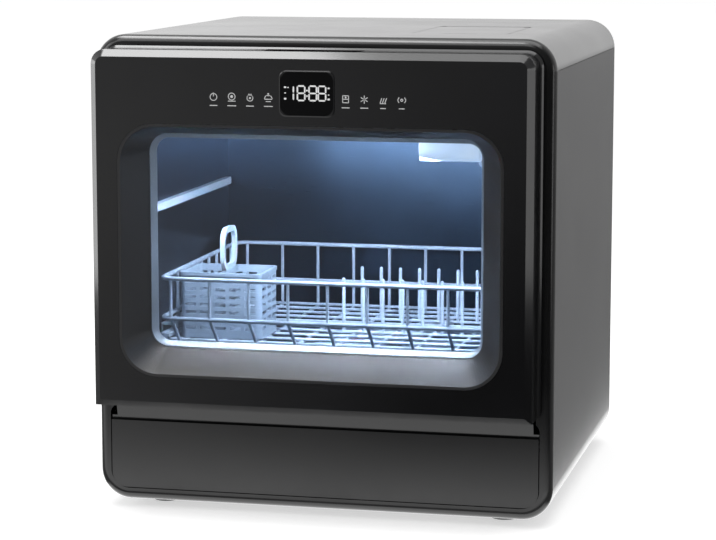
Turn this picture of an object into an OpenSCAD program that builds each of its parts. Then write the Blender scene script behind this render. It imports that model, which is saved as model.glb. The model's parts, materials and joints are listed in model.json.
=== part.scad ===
// Countertop dishwasher with a glazed drop-down door.
// Millimetres, +Z up, front towards -Y, origin under the middle of the machine.

/* [Casing] */
// Width of the casing
body_w = 420; // [414:2:430]
// Height of the machine on its feet
body_h = 435; // [435:1:445]
// Depth of the casing behind the door
casing_d = 395; // [395:1:410]
// Radius of the casing corners, seen from the front
corner_r = 28; // [24:1:30]
// Wall of the casing panels
wall = 2.2; // [2:0.1:2.6]
// Height of the rubber feet
feet_h = 8; // [6:1:9]

/* [Door] */
// How far the door stands in front of the casing
door_t = 48; // [47:1:50]
// Width of the door
door_w = 397; // [394:1:398]
// Height of the door's lower edge
door_z0 = 104.5; // [104:0.5:106]
// Height of the door's upper edge
door_z1 = 424; // [422:0.5:425]
// Depth of the sloped window surround
bezel_depth = 25.5; // [22:0.5:27]
// Size of the chamfer round the door's face
door_bevel = 6; // [5:0.5:7]

/* [Tub] */
// Half of the tub's inner width
tub_half = 172; // [172:1:174]
// Height of the tub floor
tub_z0 = 126; // [125:1:127]
// Height of the tub ceiling
tub_z1 = 366; // [366:1:368]
// Depth of the tub's rear wall behind the casing front
tub_depth = 300; // [298:1:302]

/* [Rack] */
// Height of the rack floor wires
rack_z = 150; // [149:0.5:151]
// Height of the rack's top rail
rail_z = 211; // [205:1:214]
// Spacing of the plate tines
tine_pitch = 19; // [18:0.5:20]

/* [Hidden] */
$fn = 64;

// Colours of the finished product
black = "#1b1b1d";
satin = "#3a3a3c";
steel = "#c9ccd0";
white = "#e8ebee";
rubber = "#26272a";
clear = "#9fc4d8";

// Planes of the casing
front_y = (door_t - casing_d) / 2;
back_y = (door_t + casing_d) / 2;
face_y = front_y - door_t;
seam_z = body_h - corner_r;
rim_depth = 12;
rear_rim = 10;
seam = 0.4;

// Middle of the tub, where both spray arms turn
arm_y = front_y + 152;

// Filler opening in the top cover
lid_x0 = 65;
lid_x1 = 153;
lid_y0 = front_y + 80;
lid_y1 = front_y + 219;
lid_gap = 0.6;
barrel_r = 3;
lid_axis_y = lid_y1 - lid_gap - barrel_r - 0.6;
lid_axis_z = body_h - barrel_r - 0.6;
lid_pin_r = 1.2;

// Door hinge
hinge_y = front_y - 20;
hinge_z = 112;
hinge_pin_r = 3;
run_gap = 0.05;
notch_x0 = 189;
notch_x1 = 195.5;
door_wall = 3;
door_rear = front_y - 2.5;
liner_y = front_y - 5;
door_r = 13;

// Raised rim round the door's rear edge
rim_h = 1.5;
rim_d = 2.5;

// Window: opening at the door face, and glass
win_w = 341.4;
win_z0 = 136;
win_z1 = 357;
win_r = 32;
glass_w = 302.6;
glass_z0 = 156;
glass_z1 = 349;
glass_r = 17;
glass_y = face_y + bezel_depth;
pane_t = 3.2;
inner_pane_y = liner_y - 6.5;

// Display window in the door face
display_w = 47.4;
display_h = 38;
display_z = 388;

// Kick panel and the ledge above it
kick_half = 198;
kick_z0 = 19.8;
kick_r = 14;
kick_gap = 0.9;
kick_z1 = 82.5;
ledge_z = 96;
ledge_d = 3;

// Rack geometry, as depths behind the casing front
rack_half = 158;
bend_r = 12;
rack_front = 25;
rack_foot = 53;
rack_back = 285;
mid_z = 174;
wire_r = 2;
grid_r = 1.5;
roller_r = 8;
roller_d = 56;
rear_wheel_d = 268;
runner_z = 153;
axle_r = 2.5;

// Sump and filter
sump_x = 40;
sump_y = arm_y + 25;
sump_r = 66;
cup_x = 62;
cup_y = arm_y + 39;
cup_r = 26;

// Recess in the rear for the two hose connectors
recess_x0 = -180;
recess_x1 = -70;
recess_z0 = 34;
recess_z1 = 92;
recess_deep = 34;

// Cord gland and the screws of the rear panel
gland_x = 150;
gland_z = 60;
screw_spots = [
  [-192, 60], [192, 60], [-192, 220], [192, 220], [-192, 380], [192, 380], [-90, 417], [90, 417]
];

// Hose connectors: x and radius of the inlet thread and the drain spigot, which
// both step down to a neck where they pass through the wall of the recess
inlet_r = 13.2;
drain_r = 9.5;
neck_step = 1.2;
thread_y = back_y - recess_deep + wall + 0.5;
connector_z = 63;
connector_spots = [[-150, inlet_r], [-100, drain_r]];

// Feet
feet_x = 160;
feet_spots = [for (x = [-feet_x, feet_x], y = [front_y + 45, back_y - 45]) [x, y]];

// Filler tray and its chute
tray_top = body_h - wall;
chute_x0 = 84;
chute_x1 = 134;

// Lamp behind the front of the tub ceiling
lamp_x0 = 86;
lamp_x1 = 140;
lamp_z0 = 325;

// Drying fan
fan_x = 121;
fan_z = 300;
fan_r = 30;
fan_y = front_y + tub_depth + 34;

// Water feed and spray arms
feed_z = 358;
lower_arm_z = 133;
pedestal_r = 8;
lower_arm_turn = 62;
upper_arm_turn = -52;

// Filter plate: holes in staggered rows, but not beside the filter cup or under
// the pedestal
cup_off = [cup_x - sump_x, cup_y - sump_y];
post_off = [-sump_x, arm_y - sump_y];
plate_holes = [
  for (i = [-7:7], j = [-7:7])
    let (p = [i * 9.4 + (j % 2) * 4.7, j * 8.2])
      if (norm(p) < sump_r - 6 && norm(p - cup_off) > cup_r + 5 && norm(p - post_off) > 19)
        p
];

// Wash pump
pump_x = -75;
pump_y = arm_y + 20;
pump_z = 60;

// Drain pump
drain_x = 150;
drain_y = 60;
drain_z = 52;

// Water tank and its float
tank_x0 = -165;
tank_x1 = 72;
tank_y0 = front_y + tub_depth + 16;
tank_y1 = back_y - 8;
tank_z0 = 112;
tank_z1 = 372;
float_x = -120;
float_y = (tank_y0 + tank_y1) / 2;

// Detergent tray in the door liner
detergent_x0 = 40;
detergent_x1 = 130;

// Touch spots beside the display
icon_x = [34.5, 51, 67.5, 84];

// Wires of the rack, and the plate tines
upright_pitch = 37;
grid_x = [for (x = [-148:upright_pitch:148]) x];
cross_wires = [for (k = [0:9]) rack_foot + k * (rack_back - rack_foot) / 9];
tine_rows = [cross_wires[3], cross_wires[6]];
tine_x = [for (k = [0:8]) -10 + k * tine_pitch];
tine_h = 50;

// Cutlery basket
basket_x0 = -149;
basket_x1 = -71;
basket_d0 = 56;
basket_d1 = 116;
basket_z0 = rack_z + 1.8;
basket_z1 = 213;

// ---------------------------------------------------------------- helpers

// Rounded rectangle about the origin
module round_rect(w, h, r) {
  square([w - 2 * r, h], center = true);
  square([w, h - 2 * r], center = true);
  for (sx = [-1, 1], sy = [-1, 1])
    translate([sx * (w / 2 - r), sy * (h / 2 - r)])
      circle(r);
}

// Rounded rectangle between two heights, in the XZ outline plane
module opening(w, z0, z1, r) {
  translate([0, (z0 + z1) / 2])
    round_rect(w, z1 - z0, r);
}

// Stands a 2D outline (x, z) up and gives it a thickness from y0 towards the rear
module slab(y0, t) {
  translate([0, y0 + t, 0])
    rotate([90, 0, 0])
      linear_extrude(t)
        children();
}

// Extrudes a 2D outline (y, z) across x0..x1
module across(x0, x1) {
  translate([x0, 0, 0])
    rotate([90, 0, 90])
      linear_extrude(x1 - x0)
        children();
}

// Sweeps a 2D profile round a rounded rectangle; profile x = 0 runs on its outer edge
module sweep_round(w, h, r) {
  for (q = [0:3]) {
    out = q % 2 == 0 ? w : h;
    along = q % 2 == 0 ? h : w;
    rotate([0, 0, q * 90])
      translate([out / 2 - r, along / 2 - r, 0]) {
        rotate_extrude(angle = 90)
          translate([r, 0])
            children();
        rotate([90, 0, 0])
          linear_extrude(along - 2 * r)
            translate([r, 0])
              children();
      }
  }
}

// Edge of a moulding: a face strip, a rounded edge and a return wall
module edge_profile(r, t, flange, depth) {
  translate([-flange, -t])
    square([flange - r, t]);
  translate([-t, -depth])
    square([t, depth - r]);
  translate([-r, -r])
    intersection() {
      difference() {
        circle(r);
        circle(r - t);
      }
      square(r);
    }
}

// Outline of the casing, seen from the front
module casing_outline(inset) {
  opening(body_w - 2 * inset, feet_h + inset, body_h - inset, corner_r - inset);
}

module casing_ring() {
  difference() {
    casing_outline(0);
    casing_outline(wall);
  }
}

// A rod between two points
module rod(a, b, r) {
  d = b - a;
  len = norm(d);
  translate(a)
    rotate([0, acos(d[2] / len), atan2(d[1], d[0])])
      cylinder(r = r, h = len);
}

module at_both_sides() {
  children();
  mirror([1, 0, 0])
    children();
}

// ----------------------------------------------------------------- casing

module casing_span() {
  slab(front_y + rim_depth, casing_d - rim_depth - rear_rim)
    children();
}

module top_cover() {
  color(satin)
    difference() {
      casing_span()
        intersection() {
          casing_ring();
          translate([-body_w / 2, seam_z + seam])
            square([body_w, corner_r]);
        }
      translate([(lid_x0 + lid_x1) / 2, (lid_y0 + lid_y1) / 2, body_h - 2 * wall])
        linear_extrude(4 * wall)
          round_rect(lid_x1 - lid_x0, lid_y1 - lid_y0, 4);
    }
}

module side_panel() {
  casing_span()
    intersection() {
      casing_ring();
      translate([body_w / 2 - corner_r, feet_h])
        square([corner_r, seam_z - feet_h]);
    }
}

module side_panel_right() {
  color(satin)
    side_panel();
}

module side_panel_left() {
  color(satin)
    mirror([1, 0, 0])
      side_panel();
}

module vent_rows(x0, x1, z0, z1, pitch, slot) {
  for (z = [z0:pitch:z1])
    translate([(x0 + x1) / 2, z])
      round_rect(x1 - x0, slot, slot / 2 - 0.05);
}

module rear_panel() {
  recess_w = recess_x1 - recess_x0;
  recess_h = recess_z1 - recess_z0;
  color(satin) {
    difference() {
      union() {
        translate([0, back_y, (feet_h + body_h) / 2])
          rotate([-90, 0, 0])
            sweep_round(body_w, body_h - feet_h, corner_r)
              edge_profile(4, wall, 11, rear_rim);
        slab(back_y - wall, wall)
          casing_outline(10);
      }
      slab(back_y - 2 * wall, 4 * wall)
        union() {
          translate([recess_x0, recess_z0])
            square([recess_w, recess_h]);
          vent_rows(80, 160, 262, 342, 8, 4);
          vent_rows(-60, 60, 40, 88, 8, 4);
          translate([gland_x, gland_z])
            circle(9.2);
          for (p = screw_spots)
            translate(p)
              circle(2.1);
        }
      for (p = screw_spots)
        translate([p[0], back_y - 1.4, p[1]])
          rotate([-90, 0, 0])
            cylinder(r = 4.1, h = 2);
    }
    difference() {
      translate([recess_x0 - wall, back_y - recess_deep, recess_z0 - wall])
        cube([recess_w + 2 * wall, recess_deep - wall, recess_h + 2 * wall]);
      translate([recess_x0, back_y - recess_deep + wall, recess_z0])
        cube([recess_w, recess_deep, recess_h]);
      for (p = connector_spots)
        translate([p[0], back_y - recess_deep - 1, connector_z])
          rotate([-90, 0, 0])
            cylinder(r = p[1] - neck_step + 0.3, h = 3 * wall);
    }
  }
}

module base_tray() {
  tray_half = body_w / 2 - corner_r - seam;
  y0 = front_y + rim_depth;
  y1 = back_y - rear_rim;
  color(satin)
    difference() {
      union() {
        translate([-tray_half, y0, feet_h])
          cube([2 * tray_half, y1 - y0, wall]);
        for (s = [-1, 1])
          translate([s * (tray_half - 1) - 1, y0, feet_h])
            cube([2, y1 - y0, 12]);
        for (y = [y0, y1 - 2])
          translate([-tray_half, y, feet_h])
            cube([2 * tray_half, 2, 12]);
        for (x = [-120, -40, 120])
          translate([x - 1, y0, feet_h])
            cube([2, y1 - y0, 7]);
        for (y = [-60, 100])
          translate([-tray_half, y - 1, feet_h])
            cube([2 * tray_half, 2, 7]);
      }
      for (x = [-100:16:-60], y = [-20:12:60])
        translate([x, y, feet_h - 1])
          cylinder(r = 2, h = 3 * wall);
    }
}

module feet() {
  color(rubber)
    for (p = feet_spots)
      translate([p[0], p[1], 0])
        rotate_extrude()
          polygon([[0, 0], [12, 0], [14, 2], [15, feet_h], [0, feet_h]]);
}

module front_frame() {
  color(black)
    difference() {
      union() {
        translate([0, front_y, (feet_h + body_h) / 2])
          rotate([90, 0, 0])
            sweep_round(body_w, body_h - feet_h, corner_r)
              edge_profile(8, 2.4, 11, rim_depth);
        slab(front_y, 2.4)
          difference() {
            casing_outline(10);
            opening(2 * tub_half, 128, tub_z1, 16);
            opening(2 * (kick_half + kick_gap), kick_z0 - kick_gap, ledge_z + 0.5, kick_r + kick_gap);
            opening(2 * (kick_half + kick_gap), kick_z0 + 30, ledge_z + 0.5, 8);
          }
      }
      at_both_sides()
        translate([notch_x0, front_y - 1, ledge_z - 1])
          cube([notch_x1 - notch_x0, 5, 24]);
      translate([-10.5, front_y - 1, 391])
        cube([21, 5, 10]);
    }
}

module kick_panel() {
  slope = [
    [front_y, kick_z1], [front_y + ledge_d, kick_z1 + 1], [front_y + 0.2, ledge_z],
    [front_y + 2.7, ledge_z], [front_y + ledge_d + 2.5, kick_z1 + 1],
    [front_y + ledge_d + 2.5, kick_z1 - 1.4], [front_y + 2.4, kick_z1 - 1.4],
    [front_y + 2.4, kick_z1 - 8], [front_y, kick_z1 - 8]
  ];
  color(satin)
    difference() {
      union() {
        slab(front_y, 2.4)
          difference() {
            translate([0, kick_z0 + 40])
              round_rect(2 * kick_half, 80, kick_r);
            translate([-kick_half, kick_z1 - 8])
              square([2 * kick_half, 80]);
          }
        across(-kick_half, kick_half)
          polygon(slope);
        for (x = [-150, 0, 150])
          translate([x - 5, front_y + 2.4, kick_z0 + 8])
            cube([10, 12, 3]);
      }
      at_both_sides()
        translate([kick_half - 5, front_y - 1, kick_z1 + 4])
          cube([6, ledge_d + 5, 20]);
    }
}

module casing_screws() {
  color(steel)
    for (p = screw_spots)
      translate([p[0], back_y, p[1]])
        rotate([90, 0, 0])
          difference() {
            union() {
              translate([0, 0, -0.01])
                cylinder(r1 = 3.2, r2 = 3.8, h = 1.2);
              cylinder(r = 1.7, h = 12);
            }
            for (a = [0, 90])
              rotate([0, 0, a])
                cube([4.4, 1, 1.4], center = true);
          }
}

module filler_lid() {
  w = lid_x1 - lid_x0 - 2 * lid_gap;
  mid_x = (lid_x0 + lid_x1) / 2;
  y0 = lid_y0 + lid_gap;
  color(satin)
    difference() {
      union() {
        translate([mid_x, (y0 + lid_axis_y) / 2, body_h - 2.4])
          linear_extrude(2.4)
            difference() {
              round_rect(w, lid_axis_y - y0, 3.5);
              translate([0, lid_axis_y - y0])
                square([w + 1, 6], center = true);
            }
        translate([mid_x - w / 2, lid_axis_y - 8, body_h - 2.4])
          cube([w, 8, 2.4]);
        translate([mid_x - w / 2 + 6, lid_axis_y, lid_axis_z])
          rotate([0, 90, 0])
            cylinder(r = barrel_r, h = w - 12);
        for (s = [-1, 1])
          translate([mid_x + s * (w / 2 - 6) - 1, y0 + 8, body_h - 7])
            cube([2, 112, 5]);
      }
      translate([mid_x - w, lid_axis_y, lid_axis_z])
        rotate([0, 90, 0])
          cylinder(r = lid_pin_r + run_gap, h = 2 * w);
      for (s = [-1, 1])
        translate([mid_x + s * (w / 2 - 2.9) - 3, lid_axis_y - 4, body_h - 8])
          cube([6, 8, 10]);
      translate([mid_x, y0, body_h])
        rotate([0, 90, 0])
          cylinder(r = 1, h = 30, center = true);
    }
}

module filler_lid_pin() {
  color(steel)
    translate([lid_x0 - 1.2, lid_axis_y, lid_axis_z])
      rotate([0, 90, 0])
        cylinder(r = lid_pin_r, h = lid_x1 - lid_x0 + 2.4);
}

module filler_tray() {
  y0 = lid_y0 - 3;
  y1 = lid_y1 + 3;
  chute_y1 = front_y + tub_depth + 44;
  color(white)
    difference() {
      union() {
        across(lid_x0 - 3, lid_x1 + 3)
          polygon([[y0, 404], [y0, tray_top], [y1, tray_top], [y1, 390]]);
        across(chute_x0 - 2, chute_x1 + 2)
          polygon([[y1 - 1, 390], [y1 - 1, 410], [chute_y1, 402], [chute_y1, 376], [chute_y1 - 30, 376]]);
      }
      across(lid_x0 - 1, lid_x1 + 1)
        polygon([[y0 + 2, 407], [y0 + 2, tray_top + 5], [y1 - 2, tray_top + 5], [y1 - 2, 393]]);
      across(chute_x0, chute_x1)
        polygon([
          [y1 - 6, 393], [y1 - 6, 407], [chute_y1 - 2, 400], [chute_y1 - 2, 370],
          [chute_y1 - 28, 370], [chute_y1 - 28, 380]
        ]);
      translate([lid_x0 - 4, lid_axis_y, lid_axis_z])
        rotate([0, 90, 0])
          cylinder(r = lid_pin_r, h = lid_x1 - lid_x0 + 8);
    }
}

// -------------------------------------------------------------------- tub

module tub() {
  skin = 2;
  y0 = front_y + 2.4;
  y1 = front_y + tub_depth;
  color(steel)
    difference() {
      union() {
        slab(y0, y1 + skin - y0)
          opening(2 * tub_half + 2 * skin, tub_z0 - skin, tub_z1 + skin, 18);
        slab(y0, skin)
          opening(2 * tub_half + 20, tub_z0 - 10, tub_z1 + 10, 22);
        translate([sump_x, sump_y, tub_z0 - 6])
          cylinder(r = sump_r + 4, h = 6);
      }
      slab(y0 - 1, y1 - y0 + 1)
        opening(2 * tub_half, tub_z0, tub_z1, 16);
      translate([sump_x, sump_y, tub_z0 - 10])
        cylinder(r = sump_r, h = 20);
      slab(y1 - 1, 5)
        vent_rows(96, 146, 300, 330, 7.5, 4);
      translate([0, y1 - 2, 358])
        rotate([-90, 0, 0])
          cylinder(r = 6.2, h = 6);
    }
}

module tub_gasket() {
  color(rubber)
    translate([0, front_y, (tub_z1 + 128) / 2])
      rotate([90, 0, 0])
        sweep_round(2 * tub_half + 18, tub_z1 - 128 + 18, 24) {
          difference() {
            union() {
              translate([-8, 0])
                square([8, 1.4]);
              translate([-4, 2.4])
                circle(2.3);
            }
            translate([-4, 2.4])
              circle(1.2);
          }
        }
}

// Rails for the rack wheels, the studs of the front rollers and, higher up, the
// ledges that can carry a cup shelf
module rack_rails() {
  face = tub_half - 0.7;
  y0 = front_y + roller_d + 12;
  y1 = front_y + tub_depth - 6;
  lo = rack_z + 2 - roller_r - 0.3;
  hi = rack_z + 2 + roller_r + 0.3;
  color(white)
    at_both_sides() {
      translate([face - 1.8, y0, lo - 2])
        cube([1.8, y1 - y0, hi - lo + 4]);
      for (z = [lo - 2, hi])
        translate([face - 11, y0, z])
          cube([11, y1 - y0, 2]);
      translate([face - 11.3, front_y + roller_d, runner_z - 0.3 - roller_r])
        rotate([0, 90, 0])
          cylinder(r = axle_r, h = 11.3);
      translate([face - 2.4, front_y + roller_d, runner_z - 0.3 - roller_r])
        rotate([0, 90, 0])
          cylinder(r = 7, h = 2.4);
      translate([face - 1, front_y + roller_d, runner_z - 0.3 - roller_r])
        rotate([0, 90, 0])
          cylinder(r = 2.4, h = 1.7);
      for (y = [y0 + 10, (y0 + y1) / 2, y1 - 10])
        translate([face - 1, y, rack_z + 2])
          rotate([0, 90, 0])
            cylinder(r = 5, h = 1.7);
      across(tub_half - 6, tub_half)
        polygon([[y0 - 48, 270], [y0 - 52, 274], [y0 - 52, 277], [y1 - 4, 277], [y1 - 4, 270]]);
    }
}

module roller(r, w) {
  rotate([0, 90, 0])
    difference() {
      cylinder(r = r, h = w);
      translate([0, 0, -1])
        cylinder(r = axle_r + run_gap, h = w + 2);
      for (z = [-1, w - 1.2])
        translate([0, 0, z])
          difference() {
            cylinder(r = r - 1.6, h = 2.2);
            translate([0, 0, -1])
              cylinder(r = axle_r + 1.6, h = 5);
          }
    }
}

module rail_rollers() {
  color(white)
    at_both_sides()
      translate([tub_half - 11, front_y + roller_d, runner_z - 0.3 - roller_r])
        roller(roller_r, 7);
}

module rack_wheels() {
  color(white)
    at_both_sides()
      translate([tub_half - 11, front_y + rear_wheel_d, rack_z + 2])
        roller(roller_r, 7);
}

// Lens bar of the lamp, which hangs from the tub ceiling just inside the window
module lamp_cover() {
  color(white)
    across(lamp_x0, lamp_x1) {
      translate([front_y + 24, lamp_z0 + 10])
        circle(10);
      translate([front_y + 14, lamp_z0 + 10])
        square([20, tub_z1 - lamp_z0 - 10]);
      translate([front_y + 12, tub_z1 - 4])
        square([24, 4]);
    }
}

module drying_vent() {
  y1 = front_y + tub_depth;
  color(white)
    difference() {
      slab(y1 - 3, 3)
        translate([121, 315])
          round_rect(66, 48, 6);
      slab(y1 - 5, 8)
        vent_rows(96, 146, 300, 330, 7.5, 4);
    }
}

module fan_housing() {
  y0 = front_y + tub_depth + 2;
  color(black)
    difference() {
      union() {
        translate([fan_x, fan_y, fan_z])
          rotate([-90, 0, 0])
            cylinder(r = fan_r + 6, h = 24);
        slab(y0, fan_y - y0 + 10)
          translate([fan_x, 315])
            round_rect(62, 42, 5);
      }
      translate([fan_x, fan_y + 2, fan_z])
        rotate([-90, 0, 0])
          cylinder(r = fan_r + 3, h = 30);
      slab(y0 - 1, fan_y - y0 + 12)
        translate([fan_x, 315])
          round_rect(56, 36, 3);
    }
  color(black)
    translate([fan_x, fan_y, fan_z])
      rotate([-90, 0, 0]) {
        cylinder(r = 3, h = 20);
        for (a = [0, 90])
          rotate([0, 0, a])
            translate([-fan_r - 4, -2, 0])
              cube([2 * fan_r + 8, 4, 2]);
      }
}

module fan_impeller() {
  color(white)
    translate([fan_x, fan_y + 4, fan_z])
      rotate([-90, 0, 0])
        difference() {
          union() {
            cylinder(r = fan_r, h = 1.5);
            cylinder(r = 8, h = 15);
            for (a = [0:30:330])
              rotate([0, 0, a])
                translate([fan_r - 8, 0, 0])
                  rotate([0, 0, 35])
                    translate([-6, -0.7, 0.5])
                      cube([12, 1.4, 14]);
          }
          translate([0, 0, -1])
            cylinder(r = 3 + run_gap, h = 20);
        }
}

module upper_feed() {
  color(white) {
    difference() {
      union() {
        translate([0, arm_y - 8, feed_z])
          rotate([-90, 0, 0])
            cylinder(r = 6, h = front_y + tub_depth + 9 - arm_y + 8);
        translate([0, front_y + tub_depth + 9, 100])
          cylinder(r = 6, h = feed_z - 94);
        translate([0, arm_y, 350.5])
          cylinder(r = 10, h = tub_z1 - 350.5);
        translate([0, arm_y, 338])
          cylinder(r = 7, h = 14);
      }
      translate([0, front_y + tub_depth + 9, 99])
        cylinder(r = 4.2, h = feed_z - 99);
    }
    translate([0, arm_y, 334])
      cylinder(r = 9.5, h = 4);
  }
}

// A two-bladed spray arm with its hub bore on Z and its lower face at z = 0
module spray_arm(len, bore, lift) {
  difference() {
    union() {
      cylinder(r = 20, h = lift);
      for (s = [0, 180])
        rotate([0, 0, s])
          linear_extrude(lift - 1)
            union() {
              polygon([[0, -17], [len - 12, -11], [len - 12, 11], [0, 17]]);
              translate([len - 12, 0])
                circle(11);
            }
      for (s = [0, 180])
        rotate([0, 0, s])
          translate([0, 0, lift - 1.5])
            linear_extrude(3)
              union() {
                polygon([[0, -8], [len - 16, -5], [len - 16, 5], [0, 8]]);
                translate([len - 16, 0])
                  circle(5);
              }
    }
    translate([0, 0, -1])
      cylinder(r = bore, h = lift + 6);
    for (s = [0, 180], k = [0:3])
      rotate([0, 0, s])
        translate([34 + k * (len - 56) / 3, (k % 2 == 0 ? 1.5 : -1.5), lift - 1])
          rotate([0, 0, 20 + 30 * k])
            translate([-4, -1, 0])
              cube([8, 2, 6]);
  }
}

module lower_spray_arm() {
  color(white)
    translate([0, arm_y, lower_arm_z])
      rotate([0, 0, lower_arm_turn])
        spray_arm(138, pedestal_r + run_gap, 8);
}

module upper_spray_arm() {
  color(white)
    translate([0, arm_y, 350])
      rotate([0, 180, upper_arm_turn])
        spray_arm(132, 7 + run_gap, 8);
}

module spray_pedestal() {
  color(white)
    translate([0, arm_y, 0])
      difference() {
        union() {
          translate([0, 0, 90])
            cylinder(r = pedestal_r, h = 55.6);
          translate([0, 0, tub_z0 + 2])
            cylinder(r = 15, h = 4.6);
        }
        translate([0, 0, 80])
          cylinder(r = 5, h = 60);
      }
}

module sump() {
  color(black)
    difference() {
      union() {
        translate([sump_x, sump_y, 0])
          rotate_extrude()
            difference() {
              polygon([
                [0, 66], [34, 66], [sump_r + 3, 98], [sump_r + 3, 116], [sump_r + 10, 116],
                [sump_r + 10, 119.7], [0, 119.7]
              ]);
              polygon([[0, 69], [33, 69], [sump_r, 99.5], [sump_r, 121], [0, 121]]);
            }
        translate([sump_x, sump_y, 57])
          cylinder(r = 16, h = 11);
      }
      translate([sump_x, sump_y, 55])
        cylinder(r = 12, h = 20);
    }
}

module filter_plate() {
  color(steel)
    difference() {
      translate([sump_x, sump_y, tub_z0])
        cylinder(r = sump_r + 3, h = 1.6);
      translate([cup_x, cup_y, tub_z0 - 1])
        cylinder(r = cup_r + 0.3, h = 4);
      translate([0, arm_y, tub_z0 - 1])
        cylinder(r = pedestal_r + 0.3, h = 4);
      for (p = plate_holes)
        translate([sump_x + p[0], sump_y + p[1], tub_z0 - 1])
          cylinder(r = 2.2, h = 4);
    }
}

module filter_cup() {
  color(white)
    translate([cup_x, cup_y, 0]) {
      rotate_extrude()
        polygon([
          [0, 84], [cup_r - 6, 84], [cup_r, 110], [cup_r, 127.9], [cup_r + 2.4, 127.9],
          [cup_r + 2.4, 129.6], [cup_r - 2, 129.6], [cup_r - 2, 110.5], [cup_r - 7.6, 86], [0, 86]
        ]);
      translate([-cup_r + 1, -1.5, 118])
        cube([2 * cup_r - 2, 3, 13]);
    }
}

module heater() {
  color(steel)
    translate([sump_x, sump_y, 76.5]) {
      rotate_extrude(angle = 300)
        translate([29, 0])
          circle(3.2);
      for (a = [4, 296])
        rotate([0, 0, a])
          translate([29, 0, -7.4])
            cylinder(r = 2.4, h = 8);
    }
}

module wash_pump() {
  color(black)
    translate([pump_x, pump_y, pump_z])
      rotate([0, 90, 0])
        difference() {
          union() {
            translate([0, 0, -60])
              cylinder(r = 30, h = 52);
            for (z = [-54:7:-19])
              translate([0, 0, z])
                cylinder(r = 32.5, h = 2);
            translate([0, 0, -8])
              cylinder(r = 36, h = 26);
            translate([0, 0, 18])
              cylinder(r = 12, h = 12);
            translate([-52, 24, 4])
              rotate([0, 90, 0])
                cylinder(r = 9, h = 50);
          }
          translate([0, 0, -5])
            cylinder(r = 32, h = 20);
          translate([0, 0, 10])
            cylinder(r = 9, h = 25);
        }
  color(steel)
    translate([pump_x - 6, pump_y, pump_z])
      rotate([0, 90, 0])
        cylinder(r = 3, h = 14);
}

module impeller(r, h, vanes, bore) {
  difference() {
    union() {
      cylinder(r = r, h = 2);
      cylinder(r = bore + 4, h = h);
      for (k = [0:vanes - 1])
        rotate([0, 0, 10 + k * 360 / vanes])
          translate([bore + 2, 0, 0])
            rotate([0, 0, 25])
              translate([0, -1, 1])
                cube([r - bore - 5, 2, h - 1.6]);
    }
    translate([0, 0, -1])
      cylinder(r = bore, h = h + 2);
  }
}

module wash_impeller() {
  color(white)
    translate([pump_x - 4, pump_y, pump_z])
      rotate([0, 90, 0])
        impeller(27, 10, 5, 3 + run_gap);
}

module drain_pump() {
  color(black)
    translate([drain_x, drain_y, drain_z])
      rotate([90, 0, 0])
        difference() {
          union() {
            translate([0, 0, -50])
              cylinder(r = 22, h = 44);
            translate([0, 0, -6])
              cylinder(r = 26, h = 22);
            translate([0, 0, 16])
              cylinder(r = 10, h = 14);
          }
          translate([0, 0, -3])
            cylinder(r = 22.5, h = 16);
          translate([0, 0, 10])
            cylinder(r = 7.5, h = 25);
        }
  color(steel)
    translate([drain_x, drain_y + 4, drain_z])
      rotate([90, 0, 0])
        cylinder(r = 2, h = 12);
}

module drain_impeller() {
  color(white)
    translate([drain_x, drain_y + 2, drain_z])
      rotate([90, 0, 0])
        impeller(18, 8, 4, 2 + run_gap);
}

module tank_box(inset) {
  translate([(tank_x0 + tank_x1) / 2, (tank_y0 + tank_y1) / 2, tank_z0 + inset])
    linear_extrude(tank_z1 - tank_z0 - 2 * inset)
      round_rect(tank_x1 - tank_x0 - 2 * inset, tank_y1 - tank_y0 - 2 * inset, 14 - inset);
}

module water_tank() {
  neck_y = front_y + tub_depth + 31;
  color(white)
    difference() {
      union() {
        tank_box(0);
        translate([tank_x1 - 1, neck_y - 14, tank_z1 - 30])
          cube([chute_x1 - tank_x1 + 1, 28, 30]);
      }
      tank_box(2.5);
      translate([tank_x1 - 6, neck_y - 12, tank_z1 - 28])
        cube([chute_x1 - tank_x1 + 4, 24, 26]);
      translate([chute_x0 + 4, neck_y - 10, tank_z1 - 10])
        cube([chute_x1 - chute_x0 - 8, 20, 12]);
    }
  color(white)
    translate([float_x, float_y, tank_z0 + 2])
      cylinder(r = 4, h = 200);
}

module tank_float() {
  color("#d9772b")
    translate([float_x, float_y, tank_z0 + 12])
      difference() {
        cylinder(r = 20, h = 26);
        translate([0, 0, -1])
          cylinder(r = 4.4, h = 30);
      }
}

module inlet_valve() {
  color(white) {
    translate([connector_spots[0][0], 0, connector_z]) {
      translate([0, back_y - recess_deep - 34, 0])
        rotate([-90, 0, 0])
          cylinder(r = 14, h = 34);
      translate([0, thread_y, 0])
        rotate([-90, 0, 0])
          difference() {
            union() {
              translate([0, 0, -4])
                cylinder(r = inlet_r - neck_step, h = 5);
              cylinder(r = inlet_r, h = back_y - 4 - thread_y);
            }
            translate([0, 0, 5])
              cylinder(r = 9, h = 40);
          }
      translate([-12, back_y - recess_deep - 30, 10])
        cube([24, 22, 26]);
    }
  }
}

module drain_spigot() {
  color(white)
    translate([connector_spots[1][0], thread_y, connector_z])
      rotate([-90, 0, 0])
        difference() {
          union() {
            cylinder(r = drain_r, h = back_y - 3 - thread_y);
            translate([0, 0, -14])
              cylinder(r = drain_r - neck_step, h = 15);
            translate([0, 0, -15])
              cylinder(r = 14, h = 12);
          }
          translate([0, 0, -20])
            cylinder(r = 6.4, h = 70);
        }
}

module pump_hoses() {
  color(rubber) {
    rod([sump_x, sump_y, 56.8], [sump_x, sump_y, 40], 14);
    rod([sump_x, sump_y, 46], [drain_x - 40, sump_y + 12, 46], 9);
    rod([pump_x + 32, pump_y, pump_z], [sump_x - 14, sump_y, 42], 9);
  }
}

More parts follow.
